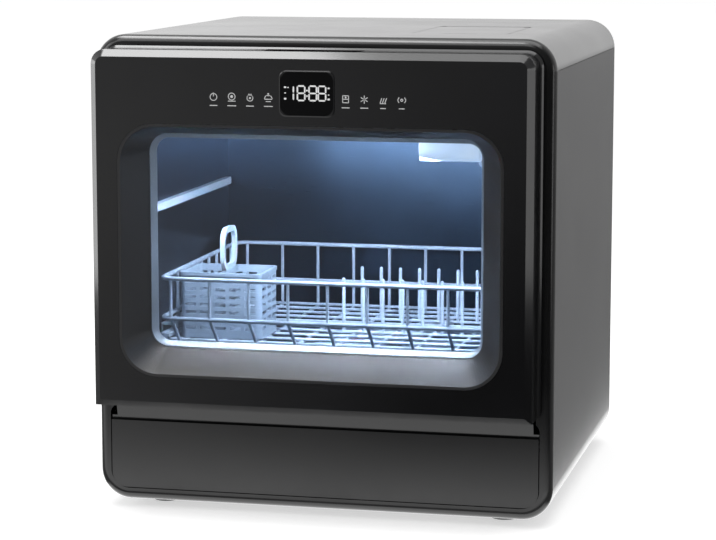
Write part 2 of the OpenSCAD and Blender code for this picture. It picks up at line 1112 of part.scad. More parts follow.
module control_board() {
  color("#2f6b3c")
    translate([84, front_y + tub_depth + 20, 130])
      cube([90, 1.6, 120]);
  color(black)
    for (p = [[92, 140, 24, 30], [124, 150, 34, 22], [96, 190, 20, 40], [130, 200, 30, 26]])
      translate([p[0], front_y + tub_depth + 21.6, p[1]])
        cube([p[2], 14, p[3]]);
}

module cable_gland() {
  color(black)
    translate([gland_x, back_y, gland_z])
      rotate([90, 0, 0])
        difference() {
          union() {
            cylinder(r = 9, h = 16);
            translate([0, 0, wall])
              cylinder(r = 12, h = 3);
          }
          translate([0, 0, -1])
            cylinder(r = 3.7, h = 20);
        }
}

// ------------------------------------------------------------------- door

module door_outline(inset) {
  opening(door_w - 2 * inset, door_z0 + inset, door_z1 - inset, door_r - inset);
}

// Lower part of the door as a block with chamfered front edges and square corners;
// inset gives the hollow inside it
module door_block(inset) {
  half = door_w / 2;
  bevel = door_bevel + inset * tan(22.5);
  top = door_z1 - door_r;
  side = [
    [bevel - half, face_y + inset], [inset - half, face_y + bevel], [inset - half, door_rear + inset]
  ];
  rim = [
    [-half, door_rear - rim_d - rim_h], [-half - rim_h, door_rear - rim_d], [-half - rim_h, door_rear]
  ];
  left = inset > 0 ? side : [side[0], side[1], each rim];
  intersection() {
    translate([0, 0, door_z0])
      linear_extrude(top - door_z0 + (inset > 0 ? 1 : 0))
        polygon([each left, for (k = [len(left) - 1:-1:0]) [-left[k][0], left[k][1]]]);
    across(-half - rim_h, half + rim_h)
      polygon([
        [door_rear + inset, door_z0 + inset], [face_y + bevel, door_z0 + inset],
        [face_y + inset, door_z0 + bevel], [face_y + inset, door_z1], [door_rear + inset, door_z1]
      ]);
  }
}

// Section of the door's upper edge: face, chamfer and return wall
module door_edge() {
  bevel = door_bevel + door_wall * tan(22.5);
  depth = door_rear - face_y;
  polygon([
    [-door_r, 0], [-door_bevel, 0], [0, -door_bevel], [0, rim_d + rim_h - depth],
    [rim_h, rim_d - depth], [rim_h, -depth], [-door_wall, -depth], [-door_wall, -bevel],
    [-bevel, -door_wall], [-door_r, -door_wall]
  ]);
}

module door_panel() {
  bezel_gap = 5.4;
  color(black)
    difference() {
      union() {
        difference() {
          door_block(0);
          door_block(door_wall);
        }
        at_both_sides()
          translate([door_w / 2 - door_r, face_y, door_z1 - door_r])
            rotate([90, 0, 0])
              rotate_extrude(angle = 90)
                translate([door_r, 0])
                  door_edge();
        translate([door_r - door_w / 2, face_y, door_z1])
          rotate([90, 0, 90])
            linear_extrude(door_w - 2 * door_r)
              rotate(90)
                door_edge();
      }
      slab(face_y - 1, 6)
        opening(win_w + bezel_gap, win_z0 - bezel_gap / 2, win_z1 + bezel_gap / 2, win_r + bezel_gap / 2);
      slab(face_y - 1, 6)
        translate([0, display_z])
          round_rect(display_w + 0.3, display_h + 0.3, 9);
      translate([-44, front_y - 36, door_z1 - 8])
        cube([88, 24, 20]);
      at_both_sides() {
        translate([notch_x0, hinge_y - 12, door_z0 - 1])
          cube([notch_x1 - notch_x0, 40, 16]);
        translate([notch_x0, hinge_y, hinge_z])
          rotate([0, 90, 0])
            cylinder(r = hinge_pin_r + run_gap, h = 8.3);
      }
      // The lower wall is cut back, so that it swings up clear of the tub gasket
      translate([-notch_x0 - 1, door_rear - 4, door_z0 - 1])
        cube([2 * notch_x0 + 2, 10, door_wall + 2]);
    }
}

module window_slice(y, w, z0, z1, r) {
  slab(y, 0.02)
    opening(w, z0, z1, r);
}

module window_funnel(grow, y0, y1) {
  hull() {
    window_slice(y0, win_w + 2 * grow, win_z0 - grow, win_z1 + grow, win_r + grow);
    window_slice(y1 - 0.02, glass_w + 2 * grow, glass_z0 - grow, glass_z1 + grow, glass_r + grow);
  }
}

module window_bezel() {
  color(satin)
    difference() {
      union() {
        window_funnel(2.5, face_y, glass_y);
        slab(glass_y - 3, 3)
          opening(glass_w + 16, glass_z0 - 6, glass_z1 + 6, glass_r + 6);
      }
      window_funnel(0, face_y - 0.01, glass_y + 0.01);
    }
}

module outer_glass() {
  color(clear, 0.4)
    slab(glass_y, pane_t)
      opening(glass_w + 12, glass_z0 - 5, glass_z1 + 5, glass_r + 4);
}

module inner_glass() {
  color(clear, 0.4)
    slab(inner_pane_y, 4)
      opening(glass_w + 14, glass_z0 - 6, glass_z1 + 7, glass_r + 4);
}

// Spacer between the panes; its inner lip tapers, so it shows round the glass
module window_seal() {
  y0 = glass_y + pane_t;
  mid = (glass_z0 + glass_z1) / 2;
  color(white)
    translate([0, y0, mid])
      rotate([90, 0, 0])
        sweep_round(glass_w + 11, glass_z1 - glass_z0 + 9, glass_r + 4)
          polygon([
            [0, 0], [-5, 0], [-9, y0 - inner_pane_y + 1.5], [-9, y0 - inner_pane_y],
            [0, y0 - inner_pane_y]
          ]);
}

module door_liner() {
  color(steel)
    difference() {
      union() {
        slab(liner_y - 2.5, 2.5)
          door_outline(3.6);
        slab(liner_y - 9, 7)
          difference() {
            door_outline(3.6);
            door_outline(6.2);
          }
        translate([detergent_x0 - 2, liner_y - 14, 128])
          cube([detergent_x1 - detergent_x0 + 4, 12, 20]);
      }
      slab(liner_y - 5, 10)
        opening(glass_w + 2, glass_z0 - 2, glass_z1 + 1, glass_r);
      translate([detergent_x0, liner_y - 12, 130])
        cube([detergent_x1 - detergent_x0, 20, 16]);
      translate([-9.3, liner_y - 5, 393.7])
        cube([18.6, 8, 4.6]);
      at_both_sides()
        translate([notch_x0, liner_y - 20, door_z0])
          cube([10, 30, 15.5]);
      translate([-47, liner_y - 12, 402])
        cube([94, 9, 30]);
    }
}

module display_lens() {
  color(black)
    slab(face_y + 0.5, 2)
      translate([0, display_z])
        round_rect(display_w, display_h, 8.8);
}

module touch_board() {
  color("#2f6b3c") {
    slab(face_y + 7, 1.6)
      translate([-96, 368])
        square([192, 33]);
    slab(face_y + 3, 4.1)
      translate([0, display_z])
        square([42, 32], center = true);
    at_both_sides()
      for (x = icon_x)
        translate([x, face_y + 7.1, 383])
          rotate([90, 0, 0])
            cylinder(r = 4, h = 4);
  }
}

module grip_pocket() {
  y0 = front_y - 38;
  color(black)
    difference() {
      translate([-46, y0, 402.5])
        cube([92, 28, door_z1 - door_wall - 402.5]);
      translate([-44, y0 + 2, 404.5])
        cube([88, 24, 30]);
    }
}

module door_hook() {
  color(steel) {
    translate([-16, liner_y - 4.5, 388])
      cube([32, 2, 14]);
    difference() {
      translate([-9, liner_y - 2.6, 394])
        cube([18, 22.5, 4]);
      translate([-4, front_y + 5, 393])
        cube([8, 6, 6]);
    }
  }
}

module latch_unit() {
  y0 = front_y + 2.4;
  color(black)
    difference() {
      translate([-24, y0, 380])
        cube([48, 30, 32]);
      translate([-10.5, y0 - 1, 391])
        cube([21, 20, 10]);
    }
}

module bracket_outline() {
  polygon([
    [hinge_y, hinge_z + 6.5], [front_y + 34, hinge_z + 6.5], [front_y + 34, 98],
    [front_y, 98.5], [hinge_y - 2.5, hinge_z - 6]
  ]);
  translate([hinge_y, hinge_z])
    circle(6.5);
}

module hinge_brackets() {
  color(steel)
    at_both_sides()
      difference() {
        union() {
          across(190, 194.5)
            bracket_outline();
          translate([182, front_y + 30, 96])
            cube([12.5, 4, 24]);
        }
        translate([180, hinge_y, hinge_z])
          rotate([0, 90, 0])
            cylinder(r = hinge_pin_r, h = 20);
      }
}

module hinge_pins() {
  color(steel)
    at_both_sides()
      translate([180, hinge_y, hinge_z])
        rotate([0, 90, 0])
          cylinder(r = hinge_pin_r, h = 17);
}

module door_hinge_blocks() {
  color(satin)
    at_both_sides()
      difference() {
        translate([176, hinge_y - 19, door_z0 + door_wall + 1])
          cube([12, 24, 21]);
        translate([175, hinge_y, hinge_z])
          rotate([0, 90, 0])
            cylinder(r = hinge_pin_r + run_gap, h = 20);
      }
}

// ------------------------------------------------------------------- rack

function rack_y(d) = front_y + d;

// A rack end: two rails that turn the corners, and the uprights, each the bent-up
// end of a long floor wire. inward is 1 at the front and -1 at the rear.
module rack_end(foot_d, face_d, inward) {
  for (z = [rail_z, mid_z]) {
    rod([bend_r - rack_half, rack_y(face_d), z], [rack_half - bend_r, rack_y(face_d), z], wire_r);
    at_both_sides()
      translate([rack_half - bend_r, rack_y(face_d + inward * bend_r), z])
        rotate([0, 0, inward > 0 ? -90 : 0])
          rotate_extrude(angle = 90)
            translate([bend_r, 0])
              circle(wire_r);
  }
  for (x = grid_x) {
    foot = [x, rack_y(foot_d), rack_z - 2];
    knee = [x, rack_y(face_d), mid_z];
    rod(foot, knee, grid_r);
    rod(knee, [x, rack_y(face_d), rail_z], grid_r);
    for (p = [foot, knee])
      translate(p)
        sphere(grid_r + 0.05);
  }
}

module rack_end_grids() {
  color(steel) {
    rack_end(rack_foot, rack_front, 1);
    rack_end(rack_back, rack_back, -1);
  }
}

// Side rails, with the bent-up ends of the cross wires, the runner and the axles
module rack_side_grids() {
  d0 = rack_front + bend_r;
  d1 = rack_back - bend_r;
  color(steel)
    at_both_sides() {
      for (z = [rail_z, mid_z])
        rod([rack_half, rack_y(d0), z], [rack_half, rack_y(d1), z], wire_r);
      for (k = [1:8]) {
        rod([rack_half, rack_y(cross_wires[k]), rack_z], [rack_half, rack_y(cross_wires[k]), rail_z], grid_r);
        translate([rack_half, rack_y(cross_wires[k]), rack_z])
          sphere(grid_r + 0.05);
      }
      translate([rack_half - 1, rack_y(46), runner_z])
        cube([9, 208, 3]);
      translate([rack_half - 1, rack_y(rear_wheel_d), rack_z + 2])
        rotate([0, 90, 0])
          cylinder(r = axle_r, h = 11);
      translate([rack_half - 1.5, rack_y(250), rack_z - 1])
        cube([3, 30, 9]);
    }
}

module rack_floor_grid() {
  color(steel) {
    for (d = cross_wires)
      rod([-rack_half, rack_y(d), rack_z], [rack_half, rack_y(d), rack_z], grid_r);
    for (x = grid_x)
      rod([x, rack_y(rack_foot), rack_z - 2], [x, rack_y(rack_back), rack_z - 2], grid_r);
  }
}

module plate_tines() {
  color(steel)
    for (x = tine_x, d = tine_rows)
      translate([x, rack_y(d), rack_z]) {
        cylinder(r = 1.6, h = tine_h);
        translate([0, 0, tine_h])
          sphere(1.6);
      }
}

// Two compartments with slotted walls and floors, and a rim round the top
module cutlery_basket() {
  w = basket_x1 - basket_x0;
  d = basket_d1 - basket_d0;
  h = basket_z1 - basket_z0;
  t = 2;
  rows = [8:7.2:h - 9];
  color(white)
    translate([(basket_x0 + basket_x1) / 2, rack_y((basket_d0 + basket_d1) / 2), basket_z0])
      difference() {
        union() {
          linear_extrude(h)
            round_rect(w, d, 6);
          translate([0, 0, h - 3])
            linear_extrude(3)
              round_rect(w + 2, d + 2, 7);
        }
        for (s = [-1, 1])
          translate([s * (w / 4 - t / 4), 0, t])
            linear_extrude(h)
              round_rect(w / 2 - 1.5 * t, d - 2 * t, 4);
        for (k = [0:4], z = rows)
          translate([-w / 2 + 5.2 + k * 14.3, -d, z])
            cube([10.4, 2 * d, 3.4]);
        for (k = [0:2], z = rows)
          translate([-w, -d / 2 + 6 + k * 17.5, z])
            cube([2 * w, 12.5, 3.4]);
        for (s = [-1, 1], k = [-2:2])
          translate([s * (w / 4) - 12, k * 10 - 2, -1])
            cube([24, 4, 2 * t]);
      }
}

// Loop that clips on to the basket's middle wall
module basket_handle() {
  mid_x = (basket_x0 + basket_x1) / 2;
  mid_y = rack_y((basket_d0 + basket_d1) / 2);
  color(white)
    across(mid_x - 2, mid_x + 2)
      translate([mid_y, basket_z1 + 20])
        difference() {
          round_rect(44, 40, 13);
          round_rect(34, 30, 9);
        }
}

top_cover();
side_panel_left();
side_panel_right();
rear_panel();
base_tray();
feet();
front_frame();
kick_panel();
casing_screws();
filler_lid();
filler_lid_pin();
filler_tray();
tub();
tub_gasket();
rack_rails();
rail_rollers();
lamp_cover();
drying_vent();
fan_housing();
fan_impeller();
upper_feed();
upper_spray_arm();
spray_pedestal();
lower_spray_arm();
sump();
filter_plate();
filter_cup();
heater();
wash_pump();
wash_impeller();
drain_pump();
drain_impeller();
water_tank();
tank_float();
inlet_valve();
drain_spigot();
pump_hoses();
control_board();
cable_gland();
door_panel();
window_bezel();
outer_glass();
window_seal();
inner_glass();
door_liner();
display_lens();
touch_board();
grip_pocket();
door_hook();
latch_unit();
hinge_brackets();
hinge_pins();
door_hinge_blocks();
rack_end_grids();
rack_side_grids();
rack_floor_grid();
plate_tines();
rack_wheels();
cutlery_basket();
basket_handle();
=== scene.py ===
import json
import math
import bpy
import bmesh
from mathutils import Matrix, Vector


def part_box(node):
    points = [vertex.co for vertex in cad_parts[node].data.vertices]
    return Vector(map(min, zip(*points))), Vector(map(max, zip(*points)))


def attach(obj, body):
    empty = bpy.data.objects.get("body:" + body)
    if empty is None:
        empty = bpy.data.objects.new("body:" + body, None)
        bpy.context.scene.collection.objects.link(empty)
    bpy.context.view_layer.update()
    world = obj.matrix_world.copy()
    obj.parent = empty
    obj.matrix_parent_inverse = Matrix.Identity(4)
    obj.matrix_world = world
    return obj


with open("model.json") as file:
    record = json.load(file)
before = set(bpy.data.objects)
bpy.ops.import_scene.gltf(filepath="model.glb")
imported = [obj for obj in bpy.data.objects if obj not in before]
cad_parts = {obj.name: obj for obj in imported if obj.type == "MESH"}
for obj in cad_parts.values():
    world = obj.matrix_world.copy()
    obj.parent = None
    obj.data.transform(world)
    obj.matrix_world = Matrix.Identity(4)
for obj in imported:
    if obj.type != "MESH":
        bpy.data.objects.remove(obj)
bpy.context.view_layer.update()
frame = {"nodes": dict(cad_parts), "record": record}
cadNodes = frame["nodes"]
print("loaded", len(cadNodes), "parts")

mm = 0.001


def toLinear(hexColour):
    # sRGB hex to the linear colour that shaders expect
    parts = [int(hexColour[k:k + 2], 16) / 255 for k in (1, 3, 5)]
    linear = [c / 12.92 if c <= 0.04045 else ((c + 0.055) / 1.055) ** 2.4 for c in parts]
    return (*linear, 1.0)


def addNode(tree, kind, inputs=None, stops=(), **settings):
    # inputs: socket name or number -> a value, or another node's output to link
    # stops: the two (place, hex colour) of a colour ramp
    node = tree.nodes.new(kind)
    for name, value in settings.items():
        setattr(node, name, value)
    for name, value in (inputs or {}).items():
        if isinstance(value, bpy.types.NodeSocket):
            tree.links.new(value, node.inputs[name])
        else:
            node.inputs[name].default_value = value
    for number, (place, hexColour) in enumerate(stops):
        node.color_ramp.elements[number].position = place
        node.color_ramp.elements[number].color = toLinear(hexColour)
    return node


def newTree(owner):
    owner.use_nodes = True
    owner.node_tree.nodes.clear()
    return owner.node_tree


# the camera: a long lens, to the right of the machine and a little above it

view = {
    "place": (0.533, -2.305, 0.546),
    "yaw": 13.17,    # degrees to the left
    "down": 8.25,    # degrees below level
    "lens": 125.1,
    "sensor": 36,
    "sees": (0.05, 50),    # nearest and farthest, in metres
}

cameraData = bpy.data.cameras.new("viewCamera")
cameraData.lens = view["lens"]
cameraData.sensor_width = view["sensor"]
cameraData.clip_start, cameraData.clip_end = view["sees"]
camera = bpy.data.objects.new("viewCamera", cameraData)
camera.location = view["place"]
camera.rotation_euler = (math.radians(90 - view["down"]), 0, math.radians(view["yaw"]))
bpy.context.scene.collection.objects.link(camera)
bpy.context.scene.camera = camera
print("placed the camera")


# materials: their lengths are real sizes on the part, and their noise seldom leaves this range

noiseLow = 0.3
noiseHigh = 0.7


def mouldedPlastic(name, look):
    # Injection moulded plastic. Two tones drift over the part, the spark-eroded grain of
    # the mould gives the bump, and roughness wanders a little where hands and cloths go.
    mat = bpy.data.materials.new(name)
    tree = newTree(mat)
    place = addNode(tree, "ShaderNodeTexCoord").outputs["Object"]
    drift = addNode(tree, "ShaderNodeTexNoise", {
        "Vector": place, "Scale": 1 / look["drift"], "Detail": 3.0,
    })
    tone = addNode(tree, "ShaderNodeValToRGB", {0: drift.outputs["Fac"]},
                   stops=[(noiseLow, look["dark"]), (noiseHigh, look["light"])])
    grain = addNode(tree, "ShaderNodeTexNoise", {
        "Vector": place, "Scale": 1 / look["grain"], "Detail": 2.0,
    })
    bump = addNode(tree, "ShaderNodeBump", {
        "Height": grain.outputs["Fac"], "Strength": look["bump"], "Distance": look["depth"],
    })
    wear = addNode(tree, "ShaderNodeTexNoise", {
        "Vector": place, "Scale": 1 / look["wear"], "Detail": 5.0, "Roughness": 0.6,
    })
    rough = addNode(tree, "ShaderNodeMapRange", {
        "Value": wear.outputs["Fac"], "From Min": noiseLow, "From Max": noiseHigh,
        "To Min": look["rough"][0], "To Max": look["rough"][1],
    })
    shader = addNode(tree, "ShaderNodeBsdfPrincipled", {
        "Base Color": tone.outputs["Color"], "Roughness": rough.outputs["Result"],
        "Normal": bump.outputs["Normal"], "IOR": look["ior"], "Specular IOR Level": look.get("shine", 0.5),
        "Subsurface Weight": look.get("milk", 0.0), "Subsurface Scale": 3 * mm,
    })
    addNode(tree, "ShaderNodeOutputMaterial", {"Surface": shader.outputs[0]})
    return mat


def sheetMetal(name, look):
    # Rolled or drawn metal: grain lines run one way, so highlights smear across them.
    mat = bpy.data.materials.new(name)
    tree = newTree(mat)
    place = addNode(tree, "ShaderNodeTexCoord").outputs["Object"]
    along = addNode(tree, "ShaderNodeMapping", {"Vector": place, "Scale": look["stretch"]})
    lines = addNode(tree, "ShaderNodeTexNoise", {
        "Vector": along.outputs[0], "Scale": 1 / look["line"], "Detail": 4.0, "Roughness": 0.65,
    })
    cloud = addNode(tree, "ShaderNodeTexNoise", {
        "Vector": place, "Scale": 1 / look["cloud"], "Detail": 3.0,
    })
    tone = addNode(tree, "ShaderNodeValToRGB", {0: cloud.outputs["Fac"]},
                   stops=[(noiseLow, look["dark"]), (noiseHigh, look["light"])])
    rough = addNode(tree, "ShaderNodeMapRange", {
        "Value": lines.outputs["Fac"], "From Min": noiseLow, "From Max": noiseHigh,
        "To Min": look["rough"][0], "To Max": look["rough"][1],
    })
    bump = addNode(tree, "ShaderNodeBump", {
        "Height": lines.outputs["Fac"], "Strength": look["bump"], "Distance": 0.05 * mm,
    })
    shader = addNode(tree, "ShaderNodeBsdfPrincipled", {
        "Base Color": tone.outputs["Color"], "Metallic": 1.0, "Roughness": rough.outputs["Result"],
        "Normal": bump.outputs["Normal"],
    })
    addNode(tree, "ShaderNodeOutputMaterial", {"Surface": shader.outputs[0]})
    return mat


def clearPane(name, look):
    # Float glass: clear head on, a mirror at a low angle, with the faintest tint. Only the face
    # that light enters by mirrors, because light isn't bent here and would never leave the pane.
    mat = bpy.data.materials.new(name)
    tree = newTree(mat)
    place = addNode(tree, "ShaderNodeTexCoord").outputs["Object"]
    smear = addNode(tree, "ShaderNodeTexNoise", {
        "Vector": place, "Scale": 1 / look["smear"], "Detail": 4.0,
    })
    rough = addNode(tree, "ShaderNodeMapRange", {
        "Value": smear.outputs["Fac"], "From Min": look["smeared"][0], "From Max": look["smeared"][1],
        "To Min": look["rough"][0], "To Max": look["rough"][1],
    })
    through = addNode(tree, "ShaderNodeBsdfTransparent", {"Color": toLinear(look["tint"])})
    mirror = addNode(tree, "ShaderNodeBsdfGlossy", {
        "Color": (1, 1, 1, 1), "Roughness": rough.outputs["Result"],
    })
    fresnel = addNode(tree, "ShaderNodeFresnel", {"IOR": look["ior"]})
    geometry = addNode(tree, "ShaderNodeNewGeometry")
    entering = addNode(tree, "ShaderNodeMath", {0: 1.0, 1: geometry.outputs["Backfacing"]},
                       operation="SUBTRACT")
    share = addNode(tree, "ShaderNodeMath", {0: fresnel.outputs[0], 1: entering.outputs[0]},
                    operation="MULTIPLY")
    mixed = addNode(tree, "ShaderNodeMixShader", {
        0: share.outputs[0], 1: through.outputs[0], 2: mirror.outputs[0],
    })
    addNode(tree, "ShaderNodeOutputMaterial", {"Surface": mixed.outputs[0]})
    return mat


def glowing(name, look):
    # Opal diffuser or printed legend lit from behind; the lamp pattern shows through a little.
    mat = bpy.data.materials.new(name)
    tree = newTree(mat)
    place = addNode(tree, "ShaderNodeTexCoord").outputs["Object"]
    spots = addNode(tree, "ShaderNodeTexVoronoi", {"Vector": place, "Scale": 1 / look["pitch"]},
                    feature="SMOOTH_F1")
    level = addNode(tree, "ShaderNodeValToRGB", {0: spots.outputs["Distance"]},
                    stops=[(0.0, look["light"]), (0.8, look["dark"])])
    shader = addNode(tree, "ShaderNodeBsdfPrincipled", {
        "Base Color": level.outputs["Color"], "Roughness": 0.4, "IOR": look["ior"],
        "Emission Color": level.outputs["Color"], "Emission Strength": look["glow"],
    })
    addNode(tree, "ShaderNodeOutputMaterial", {"Surface": shader.outputs[0]})
    return mat


plastics = {
    # ABS from a polished mould: near black, with a very slight orange peel
    "glossAbs": {
        "dark": "#0b0b0c", "light": "#0f0f11", "drift": 90 * mm, "grain": 5 * mm, "bump": 0.04,
        "depth": 0.02 * mm, "wear": 40 * mm, "rough": (0.12, 0.16), "ior": 1.53,
    },
    # the same ABS from a fine spark-eroded mould: matt charcoal, on the base, the pumps and the grip
    "matteAbs": {
        "dark": "#131315", "light": "#1a1a1c", "drift": 60 * mm, "grain": 0.7 * mm, "bump": 0.25,
        "depth": 0.05 * mm, "wear": 25 * mm, "rough": (0.38, 0.5), "ior": 1.53,
    },
    # the same ABS, satin, on the front frame and the kick panel
    "satinAbs": {
        "dark": "#0c0c0d", "light": "#101011", "drift": 80 * mm, "grain": 0.8 * mm, "bump": 0.1,
        "depth": 0.03 * mm, "wear": 50 * mm, "rough": (0.18, 0.24), "ior": 1.53,
    },
    # stove-enamelled casing panels: dark and satin, drawn coarser than life so that the texture shows
    "casingLacquer": {
        "dark": "#2c2c2e", "light": "#303032", "drift": 160 * mm, "grain": 1.1 * mm, "bump": 0.06,
        "depth": 0.04 * mm, "wear": 90 * mm, "rough": (0.22, 0.25), "ior": 1.5,
    },
    # ABS of the window surround: matt, so that it catches the light of the tub evenly
    "surroundAbs": {
        "dark": "#151517", "light": "#1a1a1c", "drift": 50 * mm, "grain": 0.8 * mm, "bump": 0.2,
        "depth": 0.05 * mm, "wear": 30 * mm, "rough": (0.4, 0.48), "ior": 1.53,
    },
    # moulded polypropylene: off-white and a little milky
    "whitePolypropylene": {
        "dark": "#cfd5db", "light": "#dfe4e8", "drift": 40 * mm, "grain": 0.9 * mm, "bump": 0.15,
        "depth": 0.04 * mm, "wear": 20 * mm, "rough": (0.3, 0.42), "ior": 1.49, "milk": 0.15,
    },
    # a greyer grade of it, on the cutlery basket, the vent, the feeds and the filter cup
    "blueGreyPolypropylene": {
        "dark": "#a9b1b9", "light": "#b9c0c7", "drift": 40 * mm, "grain": 0.9 * mm, "bump": 0.15,
        "depth": 0.04 * mm, "wear": 20 * mm, "rough": (0.3, 0.4), "ior": 1.49,
    },
    # nylon-dipped wire: thick, smooth coat with a soft shine
    "nylonCoatedWire": {
        "dark": "#ccd2da", "light": "#dde2e8", "drift": 30 * mm, "grain": 2 * mm, "bump": 0.1,
        "depth": 0.05 * mm, "wear": 15 * mm, "rough": (0.22, 0.34), "ior": 1.53,
    },
    # cast silicone between the window panes: pale grey, with a soft shine
    "opalSilicone": {
        "dark": "#85898e", "light": "#94989d", "drift": 30 * mm, "grain": 1.2 * mm, "bump": 0.05,
        "depth": 0.03 * mm, "wear": 20 * mm, "rough": (0.35, 0.45), "ior": 1.43,
    },
    # extruded rubber: dull, faintly dusty
    "blackRubber": {
        "dark": "#1c1d1e", "light": "#2a2b2c", "drift": 12 * mm, "grain": 0.5 * mm, "bump": 0.3,
        "depth": 0.05 * mm, "wear": 10 * mm, "rough": (0.62, 0.8), "ior": 1.52,
    },
    # acrylic of the display window with an anti-glare coat: the deepest black on the door
    "blackAcrylic": {
        "dark": "#040405", "light": "#060607", "drift": 40 * mm, "grain": 6 * mm, "bump": 0.02,
        "depth": 0.02 * mm, "wear": 20 * mm, "rough": (0.05, 0.09), "ior": 1.49, "shine": 0.12,
    },
    # glass-fibre circuit board under green solder resist: the copper under it makes the green uneven
    "solderResist": {
        "dark": "#1d4a2b", "light": "#2c6a3c", "drift": 6 * mm, "grain": 0.6 * mm, "bump": 0.3,
        "depth": 0.05 * mm, "wear": 9 * mm, "rough": (0.3, 0.5), "ior": 1.55,
    },
    # orange polypropylene of the float, dyed in the mass so that it can be found in the tank
    "orangePolypropylene": {
        "dark": "#c8641c", "light": "#dd7a2c", "drift": 15 * mm, "grain": 0.9 * mm, "bump": 0.15,
        "depth": 0.04 * mm, "wear": 10 * mm, "rough": (0.35, 0.5), "ior": 1.49,
    },
}
metals = {
    # stainless sheet of the tub, brushed across; painted darker and bluer than the liner's steel, as
    # painted shade and the cool light of the tub's lamps
    "shadedBlueTubSheet": {
        "dark": "#3a4552", "light": "#4b5968", "stretch": (0.06, 1, 1), "line": 0.8 * mm,
        "cloud": 70 * mm, "bump": 0.02, "rough": (0.27, 0.31),
    },
    # the same steel, brighter and with deeper lines, on the door liner and the filter
    "stainlessSheet": {
        "dark": "#8f959c", "light": "#a8aeb5", "stretch": (0.06, 1, 1), "line": 0.8 * mm,
        "cloud": 70 * mm, "bump": 0.15, "rough": (0.24, 0.34),
    },
    # zinc-plated steel of screws, pins, brackets and the heater: slightly mottled
    "zincPlate": {
        "dark": "#9c9ea0", "light": "#c2c4c6", "stretch": (1, 1, 1), "line": 1.2 * mm,
        "cloud": 4 * mm, "bump": 0.15, "rough": (0.25, 0.42),
    },
}
panes = {
    # float glass of the window, wiped by hand, so its shine is a little uneven
    "floatGlass": {
        "tint": "#e4e9ed", "ior": 1.5, "smear": 60 * mm, "smeared": (0.35, 0.7), "rough": (0.0, 0.03),
    },
}
glows = {
    # opal acrylic over the tub's lamp: an even cool white
    "opalDiffuser": {"light": "#f0f4fd", "dark": "#dde8fa", "pitch": 14 * mm, "glow": 1.4, "ior": 1.49},
    # white print lit from behind, dimmer than the display
    "litLegend": {"light": "#c2c2c2", "dark": "#b0b0b0", "pitch": 3 * mm, "glow": 0.12, "ior": 1.49},
    # the display's figures: white, with the dots of the lamps behind them
    "litDigits": {"light": "#d2d2d2", "dark": "#bebebe", "pitch": 2 * mm, "glow": 0.3, "ior": 1.49},
}

made = {}
kinds = [(mouldedPlastic, plastics), (sheetMetal, metals), (clearPane, panes), (glowing, glows)]
for makeMaterial, looks in kinds:
    for name, look in looks.items():
        made[name] = makeMaterial(name, look)
print("made", len(made), "materials")

slotMaterials = {
    "gloss_black": "glossAbs", "black_plastic": "matteAbs", "casing_plastic": "casingLacquer",
    "grey_moulding": "surroundAbs", "stainless": "stainlessSheet", "steel_wire": "nylonCoatedWire",
    "zinc_steel": "zincPlate", "white_plastic": "whitePolypropylene",
    "blue_grey_plastic": "blueGreyPolypropylene", "rubber": "blackRubber", "clear_glass": "floatGlass",
    "display_black": "blackAcrylic", "circuit_board": "solderResist", "float_orange": "orangePolypropylene",
}
# parts whose finish differs from that of their slot
nodeMaterials = {
    # the tub takes the darker, bluer steel that stands in for its painted shade and cool lamp light
    "lamp_cover": "opalDiffuser", "front_frame": "satinAbs", "kick_panel": "satinAbs", "tub": "shadedBlueTubSheet",
    "window_seal": "opalSilicone", "cutlery_basket": "blueGreyPolypropylene",
}

for part in frame["record"]["subparts"]:
    node = cadNodes[part["node"]]
    node.data.materials.clear()
    node.data.materials.append(made[nodeMaterials.get(part["node"], slotMaterials[part["material_slot"]])])
print("finished every part")


# thin pieces on the door: the display's figures and rim, and the touch symbols

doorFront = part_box("door_panel")[0].y
lensLow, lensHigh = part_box("display_lens")
lensMiddle = (lensLow.z + lensHigh.z) / 2
roundSides = 28


def toPiece(name, bm, material, body):
    bmesh.ops.recalc_face_normals(bm, faces=bm.faces)
    mesh = bpy.data.meshes.new(name)
    bm.to_mesh(mesh)
    bm.free()
    piece = bpy.data.objects.new(name, mesh)
    bpy.context.scene.collection.objects.link(piece)
    mesh.materials.append(made[material])
    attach(piece, body)
    return piece


def edgesOf(verts):
    # each edge of these vertices once, in the order in which it is met
    return list(dict.fromkeys(edge for vert in verts for edge in vert.link_edges))


def vertsIn(geom):
    return [item for item in geom if isinstance(item, bmesh.types.BMVert)]


def stroke(bm, layer, x, z, length, width, angle=0, cut=0.0):
    # a flat bar in the door's plane; a cut bevels its corners, so that its ends come to points
    place = Matrix.Translation((x, layer["front"], z)) @ Matrix.Rotation(math.radians(-angle), 4, "Y")
    size = Matrix.Diagonal((length, layer["thick"], width, 1))
    bar = bmesh.ops.create_cube(bm, size=1, matrix=place @ size)
    if cut:
        edges = edgesOf(bar["verts"])
        corners = [e for e in edges if abs((e.verts[0].co - e.verts[1].co).y) > layer["thick"] / 2]
        bmesh.ops.bevel(bm, geom=corners, offset=cut, segments=1, affect="EDGES", profile=0.5, material=-1)


def dot(bm, layer, x, z, radius):
    place = Matrix.Translation((x, layer["front"], z)) @ Matrix.Rotation(math.radians(90), 4, "X")
    bmesh.ops.create_cone(bm, cap_ends=True, segments=roundSides, radius1=radius, radius2=radius,
                          depth=layer["thick"], matrix=place)


